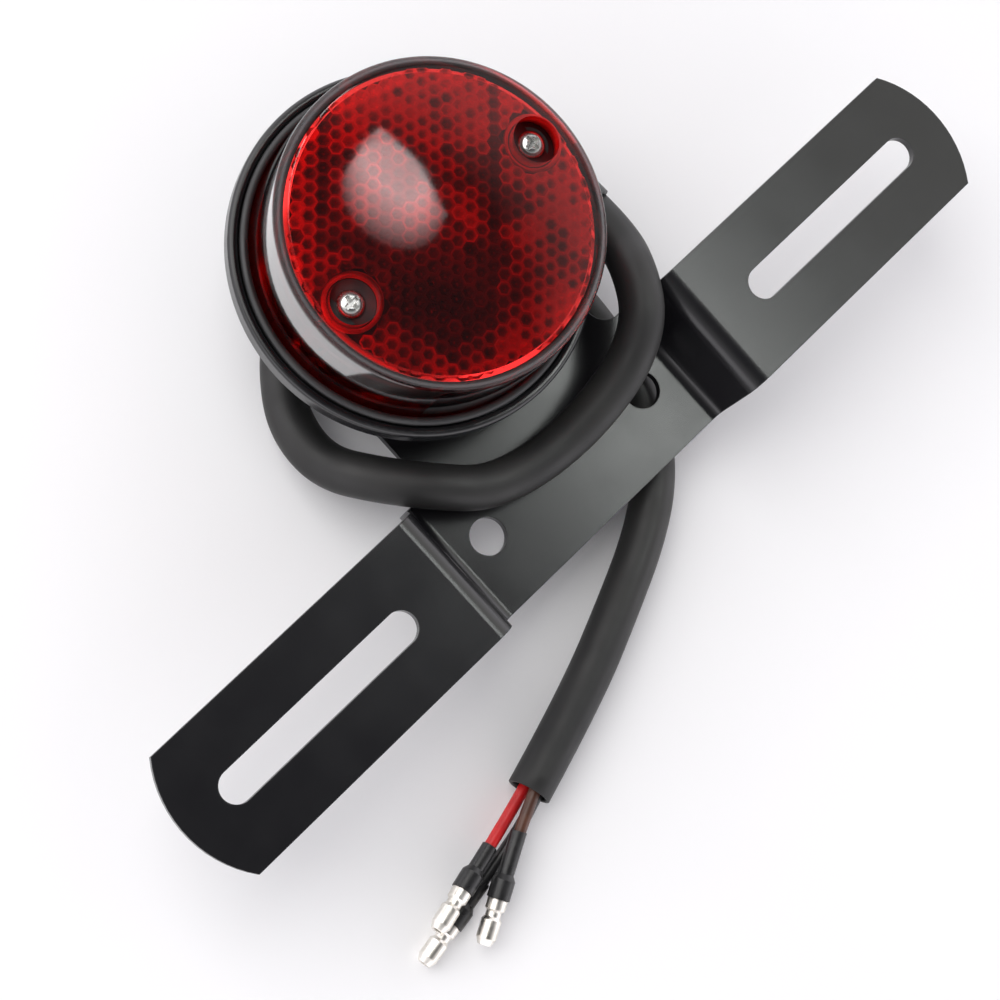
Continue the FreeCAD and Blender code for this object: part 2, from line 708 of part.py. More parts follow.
def make_socket():
    """The bayonet socket, its cap, its bracket and the rivets; profiles run along the bulb's axis."""
    bore, outer = D.socket_bore / 2, D.socket_dia / 2
    tube = turned("socket_tube", [
        (bore, D.socket_mouth), (outer, D.socket_mouth), (outer, D.socket_end), (bore, D.socket_end),
    ])
    beside_bulb(tube)
    pin = D.pin_dia / 2 + D.pin_room
    near = D.pin_place - pin
    far = D.pin_place + D.push_travel + pin
    tools = []
    for side, name in ((1, "right"), (-1, "left")):
        edge = 0 if side > 0 else -12
        spans = {"room": (-pin, D.twist_rise + pin, near, far),
                 "entry": (D.twist_rise - pin, D.twist_rise + pin, D.socket_mouth - 1, far)}
        for part, (low, high, start, end) in spans.items():
            low, high = (low, high) if side > 0 else (-high, -low)
            base = D.bulb_height
            tools.append(block(f"slot_{part}_{name}", [(edge, edge + 12), (start, end), (base + low, base + high)]))
    shell = cut("socket_shell", tube, tools)

    cap = turned("socket_cap", [
        (0, D.cap_disc), (bore - 0.05, D.cap_disc), (bore - 0.05, D.socket_end), (0, D.socket_end),
    ])
    beside_bulb(cap)

    dish = D.dish_height + D.dish_thick
    foot = block("foot", [(-9, 9), (9.5, 25), (dish, dish + 1)])
    webs = [block(f"web_{x:+d}".replace("+", "r").replace("-", "l"), [(x - 0.6, x + 0.6), (14, 24),
            (dish + 0.5, D.bulb_height - 4)]) for x in (-6, 6)]
    frame = fuse("bracket_frame", [foot, *webs])
    clearance = rod("shell_room", outer + 0.05, 40)
    beside_bulb(clearance)
    holes = []
    for y in (13, 22):
        hole = rod(f"rivet_hole_{y}", 1.5, 4)
        in_lamp(hole, 0, y, dish - 1)
        holes.append(hole)
    bracket = cut("socket_bracket", frame, [clearance, *holes])

    rivets = []
    floor = D.pad_thick + D.wall
    for y in (13, 22):
        rivet = turned(f"rivet_{y}", [
            (0, floor), (2, floor), (2, D.dish_height), (1.4, D.dish_height), (1.4, dish + 1), (2.6, dish + 1),
            (2.6, dish + 1.6), (1.6, dish + 2.1), (0, dish + 2.1),
        ])
        in_lamp(rivet, y=y)
        rivets.append(rivet)

    tabs = []
    for x in (4.2, -4.2):
        tabs.append(block("tab_right" if x > 0 else "tab_left",
                          [(x - 1.3, x + 1.3), (D.socket_end, D.socket_end + 0.6), (16.0, 21.5)]))
    return [shell, cap, bracket, group("socket_rivets", rivets), group("socket_terminals", tabs)]


def make_contacts():
    """The spring-loaded contact plate: insulating plunger, its two pads and its spring."""
    plunger = turned("contact_plunger", [
        (0, D.plunger_start), (D.plunger_dia / 2, D.plunger_start), (D.plunger_dia / 2, D.plunger_end),
        (0, D.plunger_end),
    ])
    beside_bulb(plunger)
    seats = [(3.2, 0), (-3.2, 0)]
    sketch = new_sketch(plunger, "pad_seat_sketch", height=D.plunger_start + 1)
    circles(sketch, seats, 2.0)
    pocket(plunger, sketch, "pad_seats", 1.2)
    pads = []
    for x, _ in seats:
        item = rod("pad_right" if x > 0 else "pad_left", 1.95, 1)
        item.Placement = Placement(Vector(), Rotation(Vector(1, 0, 0), -90))
        in_lamp(item, x, D.plunger_start, D.bulb_height)
        pads.append(item)

    wire = 0.3
    coil = doc.addObject("Part::Helix", "spring_helix")
    turns = 2.5
    bind(coil, "Pitch", (D.cap_disc - D.plunger_end - 2 * wire - 0.1) / turns)
    bind(coil, "Height", D.cap_disc - D.plunger_end - 2 * wire - 0.1)
    bind(coil, "Radius", 5.2)
    section = doc.addObject("Part::Circle", "spring_section")
    bind(section, "Radius", wire)
    section.Placement = Placement(Vector(5.2, 0, 0), Rotation(Vector(1, 0, 0), 90))
    spring = doc.addObject("Part::Sweep", "contact_spring")
    spring.Sections = [section]
    spring.Spine = (coil, [])
    spring.Solid = True
    spring.Frenet = True
    spring.Placement = Placement(Vector(), Rotation(Vector(1, 0, 0), -90))
    in_lamp(spring, 0, D.plunger_end + wire + 0.05, D.bulb_height)
    return [plunger, group("contact_pads", pads), spring]


def make_bulb():
    """The two filament bayonet bulb, along its own axis from the base to the glass."""
    radius, neck = D.glass_dia / 2, D.glass_neck_dia / 2
    inner = radius - D.glass_wall
    neck_in = neck - D.glass_wall
    centre = D.glass_centre
    waist = centre + root(radius * radius - neck * neck)
    waist_in = centre + root(inner * inner - neck_in * neck_in)
    end = D.cap_start + 4
    glass = turned("bulb_glass", [
        (0, centre - radius), (radius, centre), (neck, waist), (neck, end), (neck_in, end), (neck_in, waist_in),
        (inner, centre), (0, centre - inner),
    ], {0: (radius, 1), 1: (radius, 1), 5: (inner, -1), 6: (inner, -1)})
    beside_bulb(glass)

    outer = D.cap_dia / 2
    cup = turned("bulb_cup", [
        (outer - 0.5, D.cap_start), (outer, D.cap_start), (outer, D.cap_end - 0.5), (outer - 0.5, D.cap_end),
        (outer - 1.8, D.cap_end), (outer - 1.8, D.cap_end - 0.5), (outer - 0.5, D.cap_end - 0.5),
    ])
    beside_bulb(cup)
    pins = []
    reach = D.pin_span / 2
    for side, name in ((1, "right"), (-1, "left")):
        pin = rod(f"pin_{name}", D.pin_dia / 2, reach - outer + 0.4, Rotation(Vector(0, 1, 0), 90 * side))
        in_lamp(pin, (outer - 0.4) * side, D.pin_place, D.bulb_height)
        pins.append(pin)
    cap = fuse("bulb_cap", [cup, *pins])

    lip = outer - 1.85
    insulator = turned("bulb_insulator", [
        (0, D.cap_end - 2), (outer - 0.6, D.cap_end - 2), (outer - 0.6, D.cap_end - 0.55),
        (lip, D.cap_end - 0.55), (lip, D.cap_end + 0.6), (lip - 1, D.cap_end + 1.2), (0, D.cap_end + 1.2),
    ])
    beside_bulb(insulator)
    tips = []
    for x in (3.2, -3.2):
        tip = turned("contact_right" if x > 0 else "contact_left", [
            (0, D.cap_end + 1.2), (1.7, D.cap_end + 1.2), (1.2, D.contact_tip), (0, D.contact_tip),
        ])
        tip.Placement = Placement(Vector(), Rotation(Vector(1, 0, 0), -90))
        in_lamp(tip, x, 0, D.bulb_height)
        tips.append(tip)

    stem = turned("bulb_stem", [
        (0, centre + 8), (1.6, centre + 8), (2.2, centre + 12), (4.6, end - 0.6), (4.6, end), (0, end),
    ])
    beside_bulb(stem)

    wires = []
    for x, z, tip in ((-2.6, -1.1, -3.0), (2.6, -1.1, -3.0), (-2.6, 1.3, 2.0), (2.6, 1.3, 2.0)):
        foot = Vector(x * 0.35, (centre + 8.02).value, z * 0.8)
        top = Vector(x, (centre + tip).value, z)
        line = doc.addObject("Part::Cylinder", f"support_{len(wires)}")
        line.Radius = 0.22
        line.Height = (top - foot).Length
        line.Placement = Placement(foot, Rotation(Vector(0, 0, 1), top - foot))
        in_lamp(line, foot.x, size(foot.y), D.bulb_height + foot.z)
        wires.append(line)
    for z, tip in ((-1.1, -3.0), (1.3, 2.0)):
        filament = rod(f"filament_{len(wires)}", 0.4, 5.6, Rotation(Vector(0, 1, 0), 90))
        in_lamp(filament, -2.8, centre + tip, D.bulb_height + z)
        wires.append(filament)
    filaments = fuse("filament_frame", wires)
    return [glass, cap, insulator, group("bulb_contacts", tips), stem, group("bulb_filaments", [filaments])]


# ---- cable, wires and bullets ----

def path_edges(points):
    """Straight runs between the points, joined by tangent arcs near each corner."""
    spots = [Vector(*point) for point in points]
    edges = []
    start = spots[0]
    radii = []
    for before, corner, after in zip(spots, spots[1:], spots[2:]):
        inward, onward = (before - corner), (after - corner)
        length = 0.45 * min(inward.Length, onward.Length)
        inward.normalize()
        onward.normalize()
        half_turn = (math.pi - inward.getAngle(onward)) / 2
        radius = length / math.tan(half_turn)
        radii.append(radius)
        first, last = corner + inward * length, corner + onward * length
        bisector = (inward + onward).normalize()
        centre = corner + bisector * (radius / math.cos(half_turn))
        edges.append(Part.LineSegment(start, first).toShape())
        edges.append(Part.Arc(first, centre - bisector * radius, last).toShape())
        start = last
    edges.append(Part.LineSegment(start, spots[-1]).toShape())
    return edges, radii


def tube_shape(points, radius):
    """A round solid along the route, and the least radius of its bends."""
    edges, radii = path_edges(points)
    path = Part.Wire(edges)
    start, along = Vector(*points[0]), Vector(*points[1]) - Vector(*points[0])
    section = Part.Wire(Part.Circle(start, along, radius).toShape())
    solid = path.makePipeShell([section], True, False)
    expected = math.pi * radius ** 2 * path.Length
    print(f"tube {path.Length:.1f} long, least radius {min(radii):.1f}, volume {solid.Volume / expected:.4f}")
    return solid


def as_feature(label, shape, place=None):
    """A shape that no feature makes, as a sub-part with its own placement."""
    item = doc.addObject("Part::Feature", label)
    item.Shape = shape
    item.Placement = place or Placement()
    return item


def make_boot():
    """The rubber elbow that leads the cable from the housing's side."""
    radius = D.boot_dia / 2
    y = D.boot_y - D.lamp_y
    stub = rod("boot_stub", D.boot_stub_dia / 2, 8, Rotation(Vector(0, 1, 0), 90))
    in_lamp(stub, D.boot_x - 8, y, D.boot_height)
    elbow = doc.addObject("Part::Sphere", "boot_elbow")
    bind(elbow, "Radius", radius)
    in_lamp(elbow, D.boot_x, y, D.boot_height)
    leg = rod("boot_leg_rod", radius, D.boot_leg, Rotation(Vector(1, 0, 0), 90 - D.boot_tilt.value))
    in_lamp(leg, D.boot_x, y, D.boot_height)
    return fuse("cable_boot", [stub, elbow, leg])


def make_sleeve():
    """The sleeved cable; its open end is bored for the three wires."""
    solid = tube_shape(SLEEVE_ROUTE, D.sleeve_dia.value / 2)
    mouth, inward = Vector(*SLEEVE_ROUTE[-1]), Vector(*SLEEVE_ROUTE[-2]) - Vector(*SLEEVE_ROUTE[-1])
    inward.normalize()
    start = mouth - inward
    bore = Part.makeCylinder(D.sleeve_bore.value / 2, D.sleeve_open.value + 1, start, inward)
    return as_feature("cable_sleeve", solid.cut(bore))


def lathe(points):
    """A solid turned from radius and length."""
    spots = [Vector(x, 0, z) for x, z in points]
    face = Part.Face(Part.makePolygon([*spots, spots[0]]))
    return face.revolve(Vector(), Vector(0, 0, 1), 360)


def make_wire(colour, route):
    """A wire, the shrink tube over its crimp, and its bullet."""
    wire = as_feature(f"wire_{colour}", tube_shape(route, D.wire_dia.value / 2))
    end = Vector(*route[-1])
    along = (end - Vector(*route[-2])).normalize()
    place = Placement(end, Rotation(Vector(0, 0, 1), along))
    snug = D.wire_dia.value / 2 + 0.1
    barrel = snug + 0.35
    outer, hood = D.shrink_dia.value / 2, D.shrink_hood_dia.value / 2
    full = D.bullet_dia.value / 2
    start = -getattr(D, f"shrink_{colour}").value
    shrink = lathe([
        (snug, start), (outer, start), (outer, -4.0), (hood, -2.8), (hood, 1.2), (barrel + 0.05, 1.2),
        (barrel + 0.05, -3.0), (snug, -3.0),
    ])
    tip = 1.2 + D.bullet_length.value
    bullet = lathe([
        (snug, -2.9), (barrel, -2.9), (barrel, 1.3), (full, 1.3), (full, 3.4), (full - 0.5, 3.9),
        (full - 0.5, 4.9), (full, 5.6), (full, tip - 1.4), (full - 0.7, tip), (0.9, tip), (0.9, tip - 3.0),
        (0, tip - 3.0), (0, 0.6), (snug, 0.6),
    ])
    return [wire, as_feature(f"shrink_{colour}", shrink, place), as_feature(f"bullet_{colour}", bullet, place)]


def make_leads():
    """The three thin leads inside the lamp."""
    leads = []
    for colour, route in LEAD_ROUTES.items():
        base = Vector(0, D.lamp_y.value, (D.floor_gap + D.plate_thick).value)
        spots = [tuple(Vector(*point) + base) for point in route]
        leads.append(as_feature(f"lead_{colour}", tube_shape(spots, D.lead_dia.value / 2)))
    return leads


# ---- check and write ----

def check(item):
    """Stops on a broken sub-part, or on a cut that removes nothing."""
    for feature_item in [item, *item.OutListRecursive]:
        state = set(feature_item.State)
        if state & {"Invalid", "Error"}:
            raise RuntimeError(f"{feature_item.Label}: {sorted(state)}")
        if feature_item.TypeId in ("PartDesign::Pocket", "PartDesign::Groove"):
            before = feature_item.BaseFeature.Shape.Volume
            if before - feature_item.Shape.Volume < 0.1:
                raise RuntimeError(f"{feature_item.Label} removes nothing")
    if item.Shape.isNull() or not item.Shape.isValid() or not item.Shape.Solids:
        raise RuntimeError(f"{item.Label}: no valid solid")


parts = [make_bracket(), make_housing(), *make_fixings(), make_reflector(), *make_lens(), *make_lens_fixings()]
parts += [*make_socket(), *make_contacts(), *make_bulb(), make_boot(), make_sleeve()]
for colour_name, wire_route in WIRE_ROUTES.items():
    parts += make_wire(colour_name, wire_route)
parts += make_leads()
doc.recompute()

os.makedirs("parts", exist_ok=True)
for part_item in parts:
    check(part_item)
    part_item.Shape.exportStep(f"parts/{part_item.Label}.step")
    box = part_item.Shape.BoundBox
    print(f"{part_item.Label}: {len(part_item.Shape.Solids)} solid, volume {part_item.Shape.Volume:.0f}, "
          f"x {box.XMin:.2f} {box.XMax:.2f}, y {box.YMin:.2f} {box.YMax:.2f}, z {box.ZMin:.2f} {box.ZMax:.2f}")
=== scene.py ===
"""Looks of the round motorcycle tail light: cable, wires, lens prisms, materials, floor and light."""

import json
import math
import random

import bpy
from mathutils import Matrix, Vector


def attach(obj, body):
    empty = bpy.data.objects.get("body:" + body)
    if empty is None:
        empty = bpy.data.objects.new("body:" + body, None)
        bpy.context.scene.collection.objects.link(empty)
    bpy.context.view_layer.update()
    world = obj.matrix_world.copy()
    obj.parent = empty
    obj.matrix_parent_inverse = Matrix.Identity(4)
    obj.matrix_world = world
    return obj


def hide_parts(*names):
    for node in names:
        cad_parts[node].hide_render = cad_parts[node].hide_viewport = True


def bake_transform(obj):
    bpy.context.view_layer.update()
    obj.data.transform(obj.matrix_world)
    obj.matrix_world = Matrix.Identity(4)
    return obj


MM = 0.001
LAMP = Vector((0, 0.015, 0.013))  # the lamp's axis, at the top of the bracket's plate
CAMERA_PLACE = (-0.16484, 0.00316, 0.46272)
CAMERA_LENS = 83.78

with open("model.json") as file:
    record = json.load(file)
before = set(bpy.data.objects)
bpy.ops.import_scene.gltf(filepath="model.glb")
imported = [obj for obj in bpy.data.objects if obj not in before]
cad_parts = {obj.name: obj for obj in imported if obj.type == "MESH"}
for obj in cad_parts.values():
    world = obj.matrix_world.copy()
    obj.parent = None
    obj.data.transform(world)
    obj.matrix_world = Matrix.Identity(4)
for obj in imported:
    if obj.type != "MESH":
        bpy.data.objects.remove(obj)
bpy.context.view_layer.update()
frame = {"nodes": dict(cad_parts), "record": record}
nodes = frame["nodes"]
scene = bpy.context.scene


# ---- camera ----

def make_camera():
    """The camera: high up, a little past the bracket's left end."""
    data = bpy.data.cameras.new("camera")
    data.lens = CAMERA_LENS
    data.sensor_width = 36
    right = Vector((0.68915, -0.66726, 0.28254))
    down = Vector((-0.65364, -0.74075, -0.15509))
    ahead = Vector((0.31278, -0.07780, -0.94663))
    camera = bpy.data.objects.new("camera", data)
    turn = Matrix((right, -down, -ahead)).transposed().to_4x4()
    camera.matrix_world = Matrix.Translation(CAMERA_PLACE) @ turn
    data.clip_start = 0.01
    scene.collection.objects.link(camera)
    scene.camera = camera


make_camera()


# ---- mesh helpers ----

def link(name, data, body="lamp"):
    """A piece that rides on a body; its material is added later."""
    piece = bpy.data.objects.new(name, data)
    scene.collection.objects.link(piece)
    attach(piece, body)
    return piece


def mesh_piece(name, points, faces, smooth=True):
    """A piece made of points and faces."""
    data = bpy.data.meshes.new(name)
    data.from_pydata([tuple(point) for point in points], [], faces)
    data.validate()
    data.shade_smooth() if smooth else data.shade_flat()
    return link(name, data)


def spline(name, route):
    """A smooth curve along a route's points, which are in millimetres."""
    data = bpy.data.curves.new(name, "CURVE")
    data.dimensions = "3D"
    data.resolution_u = 12
    line = data.splines.new("NURBS")
    line.points.add(len(route) - 1)
    for point, spot in zip(line.points, route):
        point.co = (*(Vector(spot) * MM), 1)
    line.order_u = 3
    line.use_endpoint_u = True
    return data


def read_line(data):
    """The points down the middle of a curve with no bevel."""
    bare = bpy.data.objects.new("line", data)
    mesh = bpy.data.meshes.new_from_object(bare)
    points = [vertex.co.copy() for vertex in mesh.vertices]
    bpy.data.objects.remove(bare)
    bpy.data.meshes.remove(mesh)
    return points


def frames_along(points):
    """A tangent and two cross directions at each point, which turn no more than they must."""
    found = []
    side = None
    for i, point in enumerate(points):
        tangent = (points[min(i + 1, len(points) - 1)] - points[max(i - 1, 0)]).normalized()
        if side is None:
            side = tangent.orthogonal().normalized()
        side = (side - tangent * side.dot(tangent)).normalized()
        found.append((tangent, side, tangent.cross(side)))
    return found


def round_tube(points, radius_at, sides):
    """Points and faces of a closed tube along a line; radius_at gives the radius at each point."""
    spots, faces = [], []
    for i, (point, direction) in enumerate(zip(points, frames_along(points))):
        radius = radius_at(i)
        for k in range(sides):
            angle = 2 * math.pi * k / sides
            spots.append(point + (direction[1] * math.cos(angle) + direction[2] * math.sin(angle)) * radius)
    for i in range(len(points) - 1):
        for k in range(sides):
            n = (k + 1) % sides
            faces.append((i * sides + k, i * sides + n, (i + 1) * sides + n, (i + 1) * sides + k))
    faces.append(tuple(reversed(range(sides))))
    faces.append(tuple(range(len(spots) - sides, len(spots))))
    return spots, faces


# ---- cable and wires ----

SLEEVE_ROUTE = [
    (38.0, -2.31, 20.71), (38.1, -10.6, 21.87), (33.3, -18.2, 27.4), (28.2, -25.4, 28.2), (21.6, -30.2, 25.0),
    (12.6, -32.8, 21.8), (2.8, -33.8, 18.9), (-8.0, -33.0, 18.2), (-18.7, -29.8, 18.6), (-26.8, -22.4, 19.8),
    (-33.4, -14.0, 16.4), (-38.2, -5.0, 9.6), (-36.8, 5.8, 6.0), (-30.4, 15.0, 4.9), (-21.6, 22.8, 4.9),
    (-11.6, 29.2, 4.9), (0.0, 32.4, 4.9), (11.6, 30.8, 4.9), (21.4, 24.2, 4.9), (27.2, 14.0, 4.9),
    (28.8, 2.4, 4.9), (28.6, -9.6, 4.9), (28.2, -21.6, 4.9), (26.8, -33.6, 4.9), (22.6, -44.8, 4.9),
    (15.0, -54.2, 4.9), (4.6, -61.2, 4.9), (-8.6, -67.2, 4.9), (-29.0, -75.6, 4.9), (-50.9, -81.9, 4.9),
]
WIRE_ROUTES = {
    "red": [(-41.1, -78.0, 3.5), (-52.5, -81.7, 3.8), (-74.0, -86.0, 6.0)],
    "brown": [(-40.6, -78.5, 6.4), (-52.6, -82.6, 7.2), (-69.6, -92.3, 4.9)],
    "black": [(-40.2, -80.4, 4.2), (-53.0, -85.0, 3.6), (-62.5, -87.5, 2.5), (-79.6, -90.1, 2.5)],
}
SLEEVE_RADIUS = 4.75 * MM
BORE_RADIUS = 3.85 * MM
BORE_DEPTH = 11.5 * MM
WIRE_RADIUS = 1.3 * MM


def pinch(place, at, width):
    return math.exp(-((place - at) / width) ** 2)


def make_sleeve():
    """The rubber sleeve: a tube with ripples inside its bends, two creases and an open end."""
    points = read_line(spline("sleeve_line", SLEEVE_ROUTE))
    directions = frames_along(points)
    sides = 40
    spots, faces, rings = [], [], []
    travelled = 0.0

    def ring(centre, direction, radius, shape=None):
        start = len(spots)
        for k in range(sides):
            angle = 2 * math.pi * k / sides
            reach = radius * (shape(angle) if shape else 1)
            spots.append(centre + (direction[1] * math.cos(angle) + direction[2] * math.sin(angle)) * reach)
        rings.append(start)

    for i, (point, direction) in enumerate(zip(points, directions)):
        if i:
            travelled += (point - points[i - 1]).length
        bend = Vector((0, 0, 0))
        if 3 < i < len(points) - 4:
            bend = directions[i + 3][0] - directions[i - 3][0]
        strength = min(1.0, bend.length * 1.5)
        inner = bend.normalized() if bend.length > 1e-6 else direction[1]
        ripple = math.sin(travelled / (2.3 * MM)) * 0.012 * strength
        crease = 0.05 * pinch(travelled, 0.128, 0.0035) + 0.035 * pinch(travelled, 0.142, 0.003)
        swell = 0.006 * math.sin(travelled / (17 * MM)) + 0.004 * math.sin(travelled / (7.1 * MM) + 1)

        def shape(angle, frame_here=direction, inner=inner, ripple=ripple, crease=crease, swell=swell):
            out = frame_here[1] * math.cos(angle) + frame_here[2] * math.sin(angle)
            facing = max(0.0, out.dot(inner))
            return 1 - 0.012 + swell + ripple * facing - crease * facing ** 2
        ring(point, direction, SLEEVE_RADIUS, shape)
    end, last = points[-1], directions[-1]
    ring(end + last[0] * 0.10 * MM, last, SLEEVE_RADIUS * 0.965)
    ring(end + last[0] * 0.12 * MM, last, (SLEEVE_RADIUS + BORE_RADIUS) / 2)
    ring(end + last[0] * 0.05 * MM, last, BORE_RADIUS * 1.02)
    ring(end - last[0] * 0.4 * MM, last, BORE_RADIUS)
    depth = 0.0
    i = len(points) - 1
    while depth < BORE_DEPTH:
        depth += (points[i] - points[i - 1]).length
        i -= 1
        ring(points[i], directions[i], BORE_RADIUS)
    for a, b in zip(rings, rings[1:]):
        for k in range(sides):
            n = (k + 1) % sides
            faces.append((a + k, a + n, b + n, b + k))
    faces.append(tuple(reversed(range(rings[0], rings[0] + sides))))
    faces.append(tuple(range(rings[-1], rings[-1] + sides)))
    sleeve = mesh_piece("sleeve_tube", spots, faces)
    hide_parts("cable_sleeve")
    return sleeve


def make_wire(colour, route):
    """One insulated wire from inside the sleeve to its bullet terminal."""
    points = read_line(spline(f"line_{colour}", route))
    spots, faces = round_tube(
        points, lambda i: WIRE_RADIUS * (1 - 0.012 + 0.008 * math.sin(i * 1.7)), sides=24)
    wire = mesh_piece(f"insulation_{colour}", spots, faces)
    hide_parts(f"wire_{colour}")
    return wire


sleeve = make_sleeve()
wires = {colour: make_wire(colour, route) for colour, route in WIRE_ROUTES.items()}


# ---- contact spring ----

BULB_HEIGHT = 19.5  # millimetres, as are the spring's place, length and travel along +Y
SPRING_LOW, SPRING_RISE, SPRING_TRAVEL = 21.55, 4.1, 2.5
SPRING_RADIUS = 5.2 * MM
SPRING_WIRE_RADIUS = 0.3 * MM


def make_spring():
    """A coil between the contact plate and the socket's cap; its end turns are closer than its middle."""
    turns, steps = 2.5, 160
    points = []
    for i in range(steps + 1):
        share = i / steps
        angle = 2 * math.pi * turns * share
        low, high = 0.0, 1.0
        for _ in range(30):
            middle = (low + high) / 2
            eased = middle * middle * (3 - 2 * middle)
            pushed = SPRING_RISE * middle - SPRING_TRAVEL * eased
            low, high = (middle, high) if pushed < share * (SPRING_RISE - SPRING_TRAVEL) else (low, middle)
        along = (SPRING_LOW + SPRING_RISE * (low + high) / 2) * MM
        across, up = SPRING_RADIUS * math.cos(angle), SPRING_RADIUS * math.sin(angle)
        points.append(LAMP + Vector((across, along, BULB_HEIGHT * MM + up)))
    spots, faces = round_tube(points, lambda i: SPRING_WIRE_RADIUS, sides=10)
    data = bpy.data.meshes.new("spring_coil")
    data.from_pydata([tuple(spot) for spot in spots], [], faces)
    data.shade_smooth()
    spring = bpy.data.objects.new("spring_coil", data)
    scene.collection.objects.link(spring)
    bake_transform(spring)
    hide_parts("contact_spring")
    return spring


spring = make_spring()


# ---- lens inside: prisms with painted light, a painted rim light ring, a painted shade sheet and well liners ----

DOME = 158 * MM - 2.2 * MM  # radius of the lens's inner face
INNER_EDGE = 37.5 * MM  # where that face meets its side wall, 29.6 mm out
INNER_REACH = 29.6 * MM
PRISM_REACH = 30.6 * MM
PITCH = 2.72 * MM
WELLS = [Vector((24.5 * MM, 0)), Vector((-24.5 * MM, 0))]
WELL_ROOM = 6.0 * MM


def under_dome(x, y, drop):
    """Height of a surface just under the lens's dome, above the lamp's base."""
    reach = min(math.hypot(x, y), 31 * MM)
    inner = INNER_EDGE + math.sqrt(DOME ** 2 - reach ** 2) - math.sqrt(DOME ** 2 - INNER_REACH ** 2)
    return inner - drop


def painted_light_at(x, y):
    """Painted light of a prism cell: painted shade along the panel edges and at the lower left, painted light
    towards the rim and on two sides.
    """
    u, v = (x + y) * math.sqrt(0.5) / MM, (x - y) * math.sqrt(0.5) / MM
    reach = math.hypot(x, y) / PRISM_REACH
    painted_cell_light = 0.54
    painted_cell_light += 0.40 * max(0, reach - 0.55) / 0.45
    painted_cell_light += 0.50 * max(0, u - 8) / 18 + 0.50 * max(0, v - 6) / 20
    painted_cell_light += 0.20 * pinch(u, -1.0, 8.0) * pinch(v, -1.0, 9.0)
    painted_cell_light -= 0.50 * pinch(u, -17.0, 11.0) * pinch(v, -4.0, 20.0)
    wave = math.sin(u / 2.9 + 1.3 * math.sin(v / 4.1)) * math.sin(v / 3.3 + 0.8 * math.sin(u / 5.0))
    painted_cell_light *= 0.86 + 0.30 * wave
    for edge in (-23.5, 9.3):
        painted_cell_light *= 1 - 0.72 * pinch(v, edge, 1.3) * (1 if u > -2 else 0.3)
    for edge in (-5.5, -17.5):
        painted_cell_light *= 1 - 0.62 * pinch(u, edge, 1.6) * (1 if v < 10 else 0.4)
    return painted_cell_light


def make_prisms():
    """Rows of six-sided cells moulded in the lens's inner face, each with a ridge round a sunk centre; each
    point carries painted light, a painted highlight on the ridges and painted shade in the centres.
    """
    rng = random.Random(7)
    spots, faces, lit = [], [], []
    radius = PITCH / math.sqrt(3)
    rows = int(PRISM_REACH / (radius * 1.5)) + 1
    turn = math.radians(45)
    for row in range(-rows, rows + 1):
        for column in range(-rows, rows + 1):
            a = (column + 0.5 * (row % 2)) * PITCH
            b = row * radius * 1.5
            x, y = a * math.cos(turn) - b * math.sin(turn), a * math.sin(turn) + b * math.cos(turn)
            if math.hypot(x, y) > PRISM_REACH - 0.2 * MM:
                continue
            if any((Vector((x, y)) - well).length < WELL_ROOM for well in WELLS):
                continue
            # Painted light of this cell, times a random tone.
            painted_cell_light = painted_light_at(x, y) * rng.uniform(0.52, 1.34)
            # Painted light of the cell's centre, brighter where the cell has more painted light.
            centre_painted_light = rng.uniform(0.7, 1.7) + 1.5 * max(0, painted_cell_light - 0.75)
            # The side of the cell whose ridge gets more painted highlight.
            painted_light_side = rng.uniform(0, 2 * math.pi)
            start = len(spots)
            # Each loop: its size, its depth under the dome and its share of painted light, high on the ridge
            # and low in the centre.
            loops = ((1.0, 0.15, 0.9), (0.80, 0.15, 1.0), (0.64, 0.38, 0.62), (0.34, 0.80, 0.24 * centre_painted_light))
            for scale, drop, share in loops:
                for k in range(6):
                    angle = turn + math.radians(60 * k + 30)
                    px = x + radius * scale * math.cos(angle)
                    py = y + radius * scale * math.sin(angle)
                    trim = min(1.0, PRISM_REACH / math.hypot(px, py))
                    px, py = px * trim, py * trim
                    for well in WELLS:
                        away = math.hypot(px - well[0], py - well[1])
                        if away < WELL_ROOM:
                            px = well[0] + (px - well[0]) * WELL_ROOM / away
                            py = well[1] + (py - well[1]) * WELL_ROOM / away
                    spots.append(LAMP + Vector((px, py, under_dome(px, py, drop * MM))))
                    # One side of the ridge gets more painted highlight than the other.
                    facing = 0.5 + 0.5 * math.cos(angle - painted_light_side)
                    lit.append(max(0.0, min(1.0, painted_cell_light * (share * (0.72 + 0.28 * facing) + 0.04))))
            px, py = x, y
            spots.append(LAMP + Vector((px, py, under_dome(px, py, 0.95 * MM))))
            # Painted shade at the sunk centre.
            lit.append(max(0.0, min(1.0, painted_cell_light * 0.17 * centre_painted_light)))
            for loop in range(3):
                for k in range(6):
                    n = (k + 1) % 6
                    low, high = start + 6 * loop, start + 6 * (loop + 1)
                    faces.append((low + k, low + n, high + n, high + k))
            for k in range(6):
                faces.append((start + 18 + k, start + 18 + (k + 1) % 6, start + 24))
    piece = mesh_piece("lens_prisms", spots, faces, smooth=False)
    # The painted light of each point goes to the material as the lit attribute.
    layer = piece.data.attributes.new("lit", "FLOAT", "POINT")
    layer.data.foreach_set("value", lit)
    return piece


def turned_band(name, profile, sides=180, centre=(0, 0)):
    """A ring swept round an upright axis from (radius, height) points in millimetres."""
    spots, faces = [], []
    for k in range(sides):
        angle = 2 * math.pi * k / sides
        for radius, height in profile:
            spots.append(LAMP + Vector(((centre[0] + radius * math.cos(angle)) * MM,
                                        (centre[1] + radius * math.sin(angle)) * MM, height * MM)))
    count = len(profile)
    for k in range(sides):
        n = (k + 1) % sides
        for i in range(count):
            j = (i + 1) % count
            faces.append((k * count + i, n * count + i, n * count + j, k * count + j))
    return mesh_piece(name, spots, faces)


